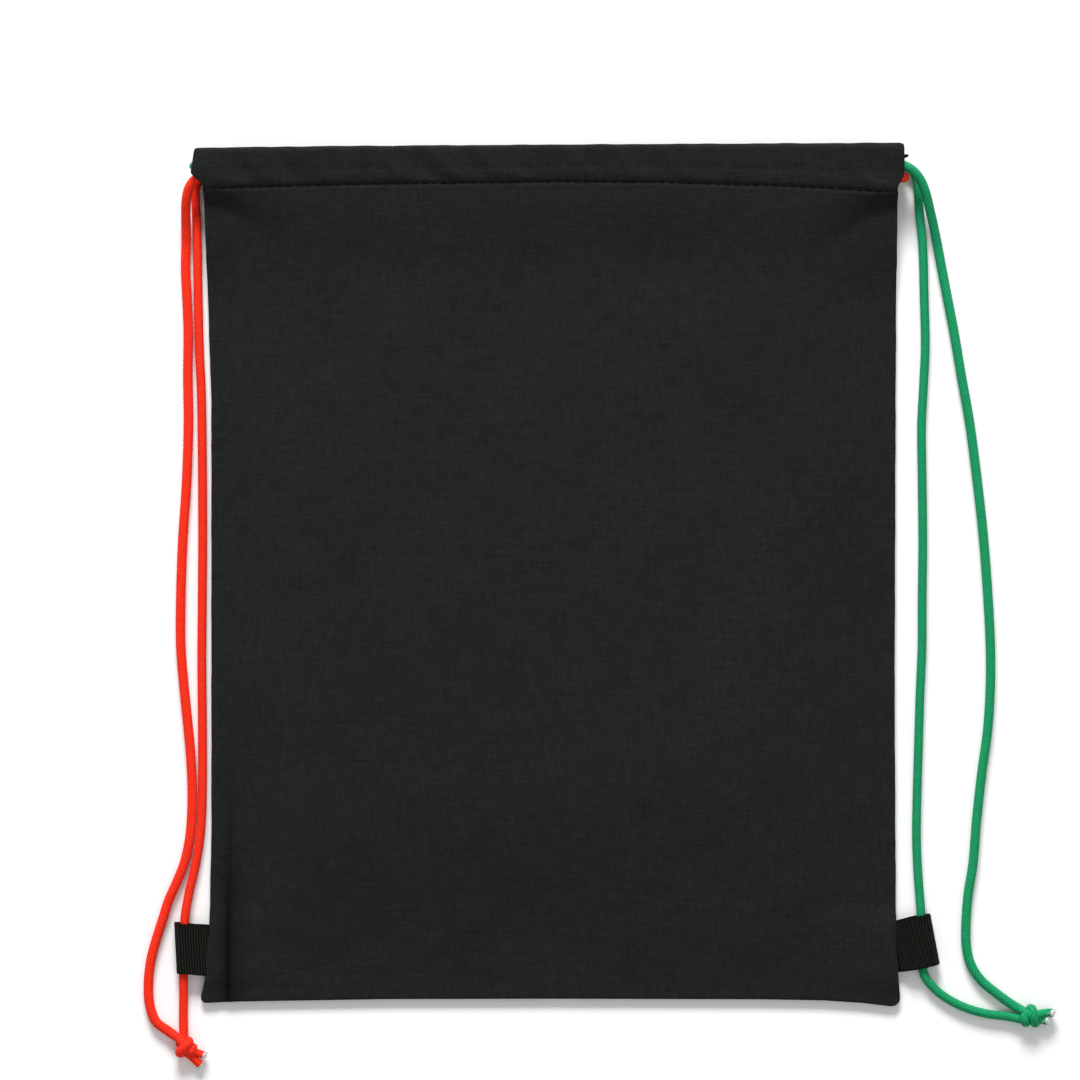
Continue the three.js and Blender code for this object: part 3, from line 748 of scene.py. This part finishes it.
BODY_RIPPLES = ((0.00035, 0.142, 0.3, 0.4), (0.0003, 0.097, 1.9, 2.1), (0.00022, 0.071, 2.7, 4.4),
                (0.00012, 0.043, 0.9, 1.3), (0.00009, 0.031, 2.2, 5.2), (0.00005, 0.017, 1.2, 3.0))
DRAG_RIPPLES = ((0.0003, 0.0215, 0.72, 0.3), (0.00024, 0.0148, 0.86, 2.9),
                (0.00013, 0.0093, 0.62, 4.1), (0.0002, 0.034, 0.95, 1.2))
EDGE_RIPPLES = ((0.00005, 0.019, 0.0, 0.7), (0.00004, 0.013, 0.0, 2.6), (0.00006, 0.043, 0.0, 4.0))


def crease(x, y, start, end, width):
    """A ridge, 1 high, along the line from start to end."""
    start, end = np.array(start), np.array(end)
    long = end - start
    size = np.linalg.norm(long)
    share = ((x - start[0]) * long[0] + (y - start[1]) * long[1]) / size**2
    off = ((x - start[0]) * long[1] - (y - start[1]) * long[0]) / size
    ends = smooth(share / 0.25) * smooth((1 - share) / 0.25)
    return hump(off, width) * ends


def rounded(x, y, corner_x, corner_y, radius):
    """Draws a square corner in to a round one. Corner and points are given without signs."""
    a = np.maximum(x - (corner_x - radius), 0) / radius
    b = np.maximum(y - (corner_y - radius), 0) / radius
    inward = 1 - np.maximum(a, b) / np.maximum(np.hypot(a, b), 1e-9)
    inward = np.where((a > 0) & (b > 0), inward, 0) * radius
    return x - a * inward, y - b * inward


# Depth, start, end and width of each crease in the front.
CREASES = (
    (0.0005, (-0.157, -0.2225), (-0.1603, -0.15), 0.0022),
    (0.0004, (-0.1602, -0.175), (-0.159, -0.112), 0.0013),
    (-0.0004, (-0.168, -0.151), (-0.154, -0.135), 0.0012),
    (-0.0005, (-0.1525, -0.22), (-0.152, -0.125), 0.003),
    (0.0003, (0.156, -0.196), (0.165, -0.158), 0.0014),
    (0.0003, (-0.118, -0.192), (-0.106, -0.181), 0.003),
)


def away_from_side(x, rise=RISE):
    return smooth((EDGE_X - np.abs(x)) / rise)


def seam_rise(y):
    return SEAM_LIFT * smooth((y - (SEAM_TOP - SEAM_LIFT_LENGTH)) / SEAM_LIFT_LENGTH)


def tab_rise(y):
    return TAB_LIFT * smooth((TAB_WIDTH / 2 + 0.009 - np.abs(y - TAB_Y)) / 0.008)


def front_height(x, y):
    away = away_from_side(x)
    edge = FRONT_Z + seam_rise(y) + tab_rise(y) * (1 - away)
    body = lerp(edge, LOFT, away * smooth((y - EDGE_Y) / BOTTOM_RISE))
    begins = SEAM_TOP - 0.04 * away
    top = FRONT_CORD_Z + LAYER / 2
    return lerp(body, top, smooth((y - begins) / (STITCH_Y - begins)))


def back_height(x, y):
    lift = seam_rise(y) * (1 - away_from_side(x, 0.03))
    return BACK_Z + lift * (1 - smooth((y - SEAM_TOP) / (STITCH_Y - SEAM_TOP))) + 0 * x


def body_detail(x, y):
    """Loose ripples, creases and the step over the casing's hem."""
    inside = away_from_side(x, 0.03) * smooth((y - EDGE_Y) / 0.03)
    rise = ripples(x, y, BODY_RIPPLES) * inside * smooth((SEAM_TOP - y) / 0.03)
    for depth, start, end, width in CREASES:
        rise = rise - depth * crease(x, y, start, end, width)
    rise = rise + 0.0002 * smooth((y - (STITCH_Y - CASING_HEM - 0.0006)) / 0.001)
    return rise


def stitch_detail(x, y):
    """The groove that the stitches pull, its needle holes, and the puckers beside it."""
    off = y - SEWN_Y
    holes = hump((x / STITCH + 0.5) % 1 - 0.5, 0.17)
    groove = -(0.0003 + 0.0003 * holes) * hump(off, 0.0009)
    pucker = ripples(x, off, ((0.0001, 2 * STITCH, 0.0, 0.5), (0.00008, 3.1 * STITCH, 0.1, 1.9)))
    return groove + pucker * hump(off, 0.006)


def casing_section(is_front):
    """Points of the casing's section: y, height from the cords' middle, and 1 on the way out
    to the crest or -1 on the way back."""
    top = BORE - 0.0002
    low = -top if is_front else -BORE
    round_by = (top - low) / 2
    middle = (top + low) / 2
    crest_y = CREST - round_by - CLOTH / 2
    rising = STITCH_Y + CASING_RISE * np.linspace(0, 1, 10)
    level = np.linspace(STITCH_Y + CASING_RISE, crest_y, 12)[1:]
    out = np.concatenate([rising, level])
    valley = 0.00018 * hump(out - (RED_Y + GREEN_Y) / 2, 0.0016)

    def arch(start, end):
        ease = np.sin(np.pi / 2 * np.clip((out - STITCH_Y) / CASING_RISE, 0, 1))
        return lerp(start, end, ease) - np.sign(end) * valley

    turn = np.radians(np.linspace(90, -90, 12))[1:-1]
    over = np.stack([crest_y + round_by * np.cos(turn), middle + round_by * np.sin(turn)], -1)
    if is_front:
        there, back, outward = arch(LAYER / 2, top), arch(-LAYER / 2, low), 1
    else:
        there, back, outward = np.full(len(out), low), arch(low + LAYER, top), -1
    rows = [(y, z, 1) for y, z in zip(out, there)]
    rows += [(y, z, 1 if z * outward > 0 else -1) for y, z in over[::outward]]
    rows += [(y, z, -1) for y, z in zip(out[::-1], back[::-1])]
    rows.append((STITCH_Y - CASING_HEM, 0.0, -1))
    return rows


CASING_SHADE = 0.91  # brightness of the front casing, where the body's is 1
SLOPE_PAINTED_LIGHT = 0.7  # painted light: how much brighter the colour is made on the slope just above the stitches, which lies in the key light's shade
SLOPE_MIDDLE = 0.003  # of that slope, above the stitches
SLOPE_WIDTH = 0.0022
SHADED_ROWS = 14  # of the casing's section, from the stitches on
UNSEWN = 0.05  # distance from the stitches at which nothing shows
# A small curved dent over the green cord, at the casing's right.
DENT_CENTRE = (0.1608, 0.1992)
DENT_RADIUS = 0.0045
DENT_WIDTH = 0.0009
DENT_DEPTH = 0.00035
# Painted shade along the front's creases and wrinkles: how much darker, start, end and width of
# each.
PAINTED_CREASE_SHADE = (
    (0.5, (-0.1604, -0.24), (-0.1602, -0.152), 0.0018),
    (0.2, (-0.1602, -0.175), (-0.159, -0.1), 0.0016),
    (0.36, (-0.159, -0.245), (-0.159, -0.128), 0.0068),
    (0.12, (-0.1595, -0.17), (-0.159, -0.08), 0.007),
    (0.13, (-0.15, 0.203), (-0.139, 0.192), 0.003),
    (0.13, (-0.129, 0.205), (-0.115, 0.193), 0.0032),
    (0.12, (-0.098, 0.204), (-0.086, 0.1925), 0.0028),
    (0.1, (-0.061, 0.204), (-0.048, 0.193), 0.0026),
    (0.1, (0.085, 0.1935), (0.101, 0.202), 0.003),
    (0.12, (-0.118, -0.194), (-0.106, -0.18), 0.0036),
)


# The seam allowance's points: how far beyond the fold and how far turned in.
LIP = [(FOLD * math.sin(a), FOLD * (1 - math.cos(a))) for a in np.radians((45, 90, 135, 180))]
TURNS = len(LIP)
LIP += [(-reach, LAYER) for reach in (0.0028, 0.0056, ALLOWANCE - CLOTH)]
LIPS = len(LIP)
BEYOND, TURNED = np.array(LIP).T


def by_side(x, sizes):
    return np.where(x < 0, sizes["left"], sizes["right"])


def cloth_columns():
    """Of each column: place, side, how far beyond the fold and turned in, share of the way."""
    straight = np.linspace(-EDGE_X, EDGE_X, 293)
    nothing = np.zeros(len(straight))
    x = np.concatenate([np.full(LIPS, -EDGE_X), straight, np.full(LIPS, EDGE_X)])
    share = np.arange(1, LIPS + 1) / LIPS
    lips = [np.concatenate([v[::-1], nothing, v]) for v in (BEYOND, TURNED, share)]
    return x, np.where(x < 0, -1.0, 1.0), *lips


def body_rows():
    """Of each row below the casing: place, how far beyond the fold, how far turned in."""
    body = np.concatenate([
        EDGE_Y + np.array([0, 0.0012, 0.0028, 0.005, 0.008]),
        np.linspace(EDGE_Y + 0.012, -0.155, 11),
        np.linspace(-0.155, 0.155, 58)[1:-1],
        np.linspace(0.155, SEAM_TOP, 11),
        np.linspace(SEAM_TOP, STITCH_Y - 0.0008, 8)[1:],
    ])
    y = np.concatenate([np.full(LIPS, EDGE_Y), body])
    lips = [np.concatenate([v[::-1], np.zeros(len(body))]) for v in (BEYOND, TURNED)]
    return y, *lips


def body_points(is_front, x, y, side, beyond, turned_in, below):
    """The cloth below the casing, with its seam allowances, before its edges stray."""
    height = front_height(x, y) if is_front else back_height(x, y)
    z = height + (-turned_in if is_front else turned_in)
    if is_front:
        z = z + body_detail(x, y) + stitch_detail(x, y)
    px, py = x + side * beyond, y - below
    px, py = rounded(np.abs(px), -py, HALF, -BOTTOM, by_side(px, BODY_CORNER))
    return np.stack([px * side, -py, z], -1)


def casing_points(is_front, x, y, side, share, section):
    """The cloth of the casing, from its stitch line over the crest and back to its hem."""
    full = smooth((y - STITCH_Y - 0.0005) / 0.0075)
    end = by_side(x, CASING_END)
    out = x + side * share * lerp(FOLD, end + HALF - EDGE_X, full)
    z = (FRONT_CORD_Z if is_front else BACK_CORD_Z) + section[None, :, 1] + 0 * x
    hem_y = section[-1, 0]
    if is_front:
        z[:, -1] = front_height(x[:, 0], hem_y) - LAYER
        z = z + stitch_detail(x, y)
    else:
        z[:, -1] = back_height(x[:, 0], hem_y) + LAYER
    low = hump(y - STITCH_Y, 0.003)
    loose = (1 - low) * (section[None, :, 2] > 0 if is_front else section[None, :, 2] < 0)
    drag = ripples(x, y, DRAG_RIPPLES) * lerp(1.0, 0.45, smooth((x + 0.02) / 0.08)) * loose
    z = z + (drag if is_front else -drag)
    arc = np.hypot(x - DENT_CENTRE[0], y - DENT_CENTRE[1])
    dent = DENT_DEPTH * hump(arc - DENT_RADIUS, DENT_WIDTH)
    z = z - dent * loose * is_front
    wave = ripples(x, 0 * x, EDGE_RIPPLES) * smooth((y - GREEN_Y) / (CREST - GREEN_Y))
    out, y = rounded(np.abs(out), y + wave, HALF + end, CREST, CASING_CORNER)
    return np.stack([out * side, y, z], -1)


def cells_present(x, share, section, casing_row, seam_row, rows):
    """Which cells of the grid are there, so that allowances and hem don't pile up."""
    place = np.abs((x[1:] + x[:-1]) / 2)[:, None]
    most = np.maximum(share[1:], share[:-1])[:, None]
    is_lip = most > 0
    is_flat_lip = most > (TURNS + 0.5) / LIPS
    near_side = is_lip | (place > EDGE_X - 0.012)
    near_edge = is_lip | (place > EDGE_X - 0.0051)
    inner_row = casing_row + int(np.argmax(section[:, 2] < 0)) + 2
    j = np.arange(rows)[None]
    absent = (j < LIPS - TURNS) & near_side
    absent |= (j < LIPS) & is_lip
    absent |= (j >= LIPS) & (j <= LIPS + 2) & is_flat_lip
    absent |= (j >= seam_row) & (j < casing_row) & is_flat_lip
    absent |= (j >= inner_row) & near_edge
    absent |= (j == rows - 1) & near_side
    return ~absent


def note_sewing(obj, is_front, along, y, casing_row, points, used):
    """Gives the points what the cotton needs: stitches, distance from them, and a shade factor with
    the casing's tone, painted light on the slope above the stitches and painted shade along creases
    and wrinkles.
    """
    off = y - SEWN_Y
    shown = np.arange(off.shape[1])[None] < casing_row + SHADED_ROWS
    off = np.where(shown & is_front, off, UNSEWN)
    slope = hump(off - SLOPE_MIDDLE, SLOPE_WIDTH)
    # painted light: the colour on the slope just above the stitches is made brighter, where that
    # slope lies in shade
    shade = np.where(off > SEWN_HALF, CASING_SHADE + SLOPE_PAINTED_LIGHT * slope, 1.0)
    if is_front:
        # painted shade along the front's creases and wrinkles
        for depth, start, end, width in PAINTED_CREASE_SHADE:
            shade = shade - depth * crease(points[..., 0], points[..., 1], start, end, width)
    values = np.stack([along / STITCH, off, shade], -1)[used]
    attribute = obj.data.attributes.new("sewing", "FLOAT_VECTOR", "POINT")
    attribute.data.foreach_set("vector", np.tile(values, (2, 1)).astype(np.float32).ravel())


def cloth(is_front):
    """One panel with its seam allowances and its casing, as a single sheet."""
    x, side, beyond, turned, share = cloth_columns()
    row_y, row_beyond, row_turned = body_rows()
    section = np.array(casing_section(is_front))
    gx, gy = np.meshgrid(x, np.append(row_y, section[:, 0]), indexing="ij")
    casing_row = len(row_y)
    body, casing = np.s_[:, :casing_row], np.s_[:, casing_row:]
    side = side[:, None]
    turned_in = turned[:, None] + row_turned
    points = np.concatenate([
        body_points(is_front, gx[body], gy[body], side, beyond[:, None], turned_in, row_beyond),
        casing_points(is_front, gx[casing], gy[casing], side, share[:, None], section),
    ], 1)
    dx, dy = stray(points[..., 0], points[..., 1])
    points[..., 0] += dx
    points[..., 1] += dy
    edge_wave = ripples(points[..., 1], 0, EDGE_RIPPLES) * (1 - away_from_side(gx[:, :1], 0.01))
    points[..., 0] += side * edge_wave

    seam_row = int(np.searchsorted(row_y, SEAM_TOP - 1e-6))
    rows = points.shape[1] - 1
    present = cells_present(x, share, section, casing_row, seam_row, rows)
    flat_y = lengths_along(points[len(x) // 2])
    wide = np.diff(x + side[:, 0] * (beyond + share * 0.008))
    flat_x = np.append(0, np.cumsum(np.abs(wide)))
    flat = np.stack(np.meshgrid(flat_x, flat_y, indexing="ij"), -1)

    shape = Shape()
    vertices, blocks, used = thicken(points, present, FABRIC, flat)
    shape.add(vertices, blocks)
    name = "front" if is_front else "back"
    obj = piece(shape, f"{name}_cloth", COTTON, "cotton", f"{name}_panel", f"{name}_casing",
                is_front=is_front, sharp=50)
    note_sewing(obj, is_front, gx, gy, casing_row, points, used)


cloth(is_front=True)
cloth(is_front=False)


# ---- runs of the cords inside the casings, and the turns at their far ends ----
SPLIT_X = HALF - 0.0025
RUN_POINTS = 41


def casing_run(colour, y, is_front):
    """A cord from end to end of a casing. It follows the cloth where that strays upwards."""
    x = lerp(-SPLIT_X, SPLIT_X, np.arange(RUN_POINTS) / (RUN_POINTS - 1))
    _, up = stray(x, np.full_like(x, y))
    z = np.full_like(x, FRONT_CORD_Z if is_front else BACK_CORD_Z)
    path = evenly(np.stack([x, y + np.maximum(up, 0), z], -1), HIDDEN_RING)
    shape = Shape()
    tube(shape, path, HIDDEN_SHEATH, HIDDEN_ROUND)
    braided(shape, colour, f"{colour}_cord_{'front' if is_front else 'back'}_run", is_front)


def far_loop(colour, side, y):
    """The turn of a cord from the one casing to the other."""
    radius = (FRONT_CORD_Z - BACK_CORD_Z) / 2
    end = CASING_END["left" if side < 0 else "right"]
    middle = HALF + end + 0.002 - CORD / 2 - radius
    start_x = side * (SPLIT_X + 0.0003)
    points = [(start_x, y, BACK_CORD_Z)]
    for turn in np.radians(HALF_TURN):
        x = middle + radius * math.cos(turn)
        points.append((side * x, y, BACK_CORD_Z + radius + radius * math.sin(turn)))
    points.append((start_x, y, FRONT_CORD_Z))
    shape = Shape()
    tube(shape, curve_through(points, RING), SHEATH, ROUND, RELIEF)
    braided(shape, colour, f"{colour}_cord_far_loop")


for colour, y, far_side in (("red", RED_Y, 1), ("green", GREEN_Y, -1)):
    casing_run(colour, y, is_front=True)
    casing_run(colour, y, is_front=False)
    far_loop(colour, far_side, y)


# ---- sewing ----
STITCH_LENGTH = 0.0037
OVERLOCK_STEP = 0.0016
OVERLOCK_SWING = 0.0005
OVERLOCK_RISE = 0.0009
# The thread's end at the right of the front stitches: x, y and how far below the cloth.
THREAD_END = ((0.17, 0.2048, 0.0006), (0.1722, 0.2052, 0.001), (0.174, 0.2057, 0.0014))
THREAD_END_RADIUS = np.array([0.0006, 0.001, 0.0005])


def stitch_row(name, node, y, height, is_front):
    """A row of lock stitches along the casing. Each dips into the cloth at both ends."""
    shape = Shape()
    s = np.linspace(-1, 1, 7)
    arch = THREAD * 0.5 * (1 - np.abs(s) ** 3) - THREAD * 0.35
    thickness = THREAD / 2 * np.array([0.45, 0.85, 1, 1, 1, 0.85, 0.45])
    count = int((EDGE_X - 0.004) / STITCH)
    for k in range(-count, count):
        middle = (k + 0.5) * STITCH
        x = middle + s * STITCH_LENGTH / 2
        z = height(x, np.full_like(x, y)) + arch
        dx, dy = stray(x, np.full_like(x, y))
        tube(shape, np.stack([x + dx, y + dy, z], -1), thickness, 8, start=middle)
    if is_front:
        low = height(np.array([EDGE_X]), np.array([y]))[0]
        nub = np.array([(x, y, low - drop) for x, y, drop in THREAD_END])
        tube(shape, nub, THREAD_END_RADIUS, 8)
    piece(shape, name, THREAD_LOOK, "thread", node, is_front=is_front)


def on_front(x, y):
    return front_height(x, y) + body_detail(x, y) + stitch_detail(x, y) + FABRIC / 2


def on_back_hem(x, y):
    return 0 * x + BACK_Z + LAYER + FABRIC / 2


stitch_row("front_casing_stitches", "front_casing_stitching", SEWN_Y, on_front, True)
stitch_row("back_casing_stitches", "back_casing_stitching", STITCH_Y - CASING_HEM / 2,
           on_back_hem, False)


def seam_level(y):
    return BACK_Z + CLOTH / 2 + 0.0004 + float(seam_rise(np.array(y)))


def overlock(word, start, end):
    """A zigzag of thread that holds the two seam allowances together at their raw edges."""
    start, end = np.array(start), np.array(end)
    long = np.linalg.norm(end - start)
    ahead = (end - start) / long
    across = np.array([-ahead[1], ahead[0]])
    steps = int(long / OVERLOCK_STEP)
    points = []
    for k in range(steps + 1):
        swing = OVERLOCK_SWING if k % 2 else -OVERLOCK_SWING
        place = start + ahead * long * k / steps + across * swing
        rise = OVERLOCK_RISE if k % 4 < 2 else 0.0
        points.append((*place, seam_level(place[1]) + rise))
    shape = Shape()
    tube(shape, curve_through(points, 0.0008), THREAD / 2, 6)
    piece(shape, f"{word}_seam_overlock", THREAD_LOOK, "thread", f"{word}_seam_stitching")


RAW_EDGE = ALLOWANCE + 0.0007
for side, word in ((-1, "left"), (1, "right")):
    seam_x = side * (HALF - RAW_EDGE)
    overlock(word, (seam_x, EDGE_Y + 0.012), (seam_x, SEAM_TOP - 0.003))
seam_end = EDGE_X - 0.0135
overlock("bottom", (-seam_end, BOTTOM + RAW_EDGE), (seam_end, BOTTOM + RAW_EDGE))


# ---- webbing tabs ----
def webbing_tab(side):
    """A strip of ribbed webbing folded into a loop, both ends in the side seam."""
    word = "left" if side < 0 else "right"
    reach = TAB_REACH[word]
    half = TAB_CLOTH / 2
    low = BACK_Z + LAYER + CLOTH / 2 + 0.0003 + half
    high = low + TAB_CLOTH
    inner = -(ALLOWANCE - 0.0003)
    bend = TAB_HEIGHT / 2
    section = [(inner, low), (-0.004, low), (0.0004, low), (0.0026, low * 0.55), (0.0048, half)]
    section += [(u, half) for u in np.linspace(0.0075, reach - bend - 0.001, 3)]
    for turn in np.radians(HALF_TURN):
        section.append((reach - bend + (bend - half) * math.cos(turn),
                        bend + (bend - half) * math.sin(turn)))
    section += [(u, TAB_HEIGHT - half - 0.0002) for u in (reach - 0.008, 0.0085)]
    section += [(0.0054, TAB_HEIGHT - 0.0011), (0.0026, (high + TAB_HEIGHT) / 2 - 0.0004),
                (0.0004, high + 0.0001), (-0.004, high), (inner, high)]
    path = curve_through([(u, 0, z) for u, z in section], 0.00016)
    along = lengths_along(path)
    width = np.linspace(-0.5, 0.5, 33)
    s, w = np.meshgrid(along, width, indexing="ij")
    tangent = unit(np.gradient(path, axis=0))
    normal = np.stack([tangent[:, 2], 0 * along, -tangent[:, 0]], -1)
    ribs = 0.00017 * np.sin(2 * np.pi * s / RIB) * smooth((0.5 - np.abs(w)) / 0.05)
    selvedge = 0.00012 * hump(np.abs(w) - 0.465, 0.02)
    u = path[:, None, 0] + normal[:, None, 0] * (ribs + selvedge)
    z = path[:, None, 2] + normal[:, None, 2] * (ribs + selvedge)
    wave = 0.00018 * np.sin(2 * np.pi * s / 0.019 + 1.0 * side) * np.sign(w) * (np.abs(w) > 0.47)
    v = w * TAB_WIDTH + wave
    outside = smooth((u + 0.002) / 0.004)
    edges, end = (np.tan(angle) * outside for angle in TAB_SLANT[word])
    u, v = u + end * v, v + edges * u
    points = np.stack([side * (HALF + u), TAB_Y + TAB_SHIFT[word] + v, z], -1)
    if side > 0:
        points = points[:, ::-1]
        s, w = s[:, ::-1], w[:, ::-1]
    flat = np.stack([s, w * TAB_WIDTH + 0.1], -1)
    present = np.ones((len(along) - 1, len(width) - 1), bool)
    shape = Shape()
    vertices, blocks, _ = thicken(points, present, TAB_CLOTH - 0.0002, flat)
    shape.add(vertices, blocks)
    piece(shape, f"{word}_webbing_tab", WEBBING, "webbing", f"{word}_tab", sharp=60)


webbing_tab(-1)
webbing_tab(1)


# ---- floor and light ----
FLOOR_HALF = 4.0
WORLD_STRENGTH = 0.44
# Name, place, width and length, and power of each light.
LIGHTS = (
    ("key", (-0.3, 3.6, 1.95), (1.8, 1.1), 255),
    ("fill", (1.2, -1.6, 3.4), (2.5, 2.5), 20),
)


def plain_floor():
    mesh = bpy.data.meshes.new("floor")
    corners = [(x * FLOOR_HALF, y * FLOOR_HALF, 0) for x, y in ((-1, -1), (1, -1), (1, 1), (-1, 1))]
    mesh.from_pydata(corners, [], [(0, 1, 2, 3)])
    n = Nodes("floor", Specular_IOR_Level=0.0, Roughness=1.0)
    shade = n.ramp(n.noise(3.0), (0.3, 0.9), (0.7, 0.91))
    n.tree.links.new(shade, n.shader.inputs["Base Color"])
    mesh.materials.append(n.material)
    add_object("floor", mesh)


def area_light(name, place, size, power):
    data = bpy.data.lights.new(name, "AREA")
    data.shape = "RECTANGLE"
    data.size, data.size_y = size
    data.energy = power
    light = add_object(name, data)
    light.location = place
    light.rotation_euler = (-Vector(place)).to_track_quat("-Z", "Y").to_euler()


plain_floor()
for light in LIGHTS:
    area_light(*light)

world = bpy.data.worlds.new("studio")
world.use_nodes = True
background = world.node_tree.nodes["Background"]
background.inputs["Color"].default_value = (1, 1, 1, 1)
background.inputs["Strength"].default_value = WORLD_STRENGTH
bpy.context.scene.world = world
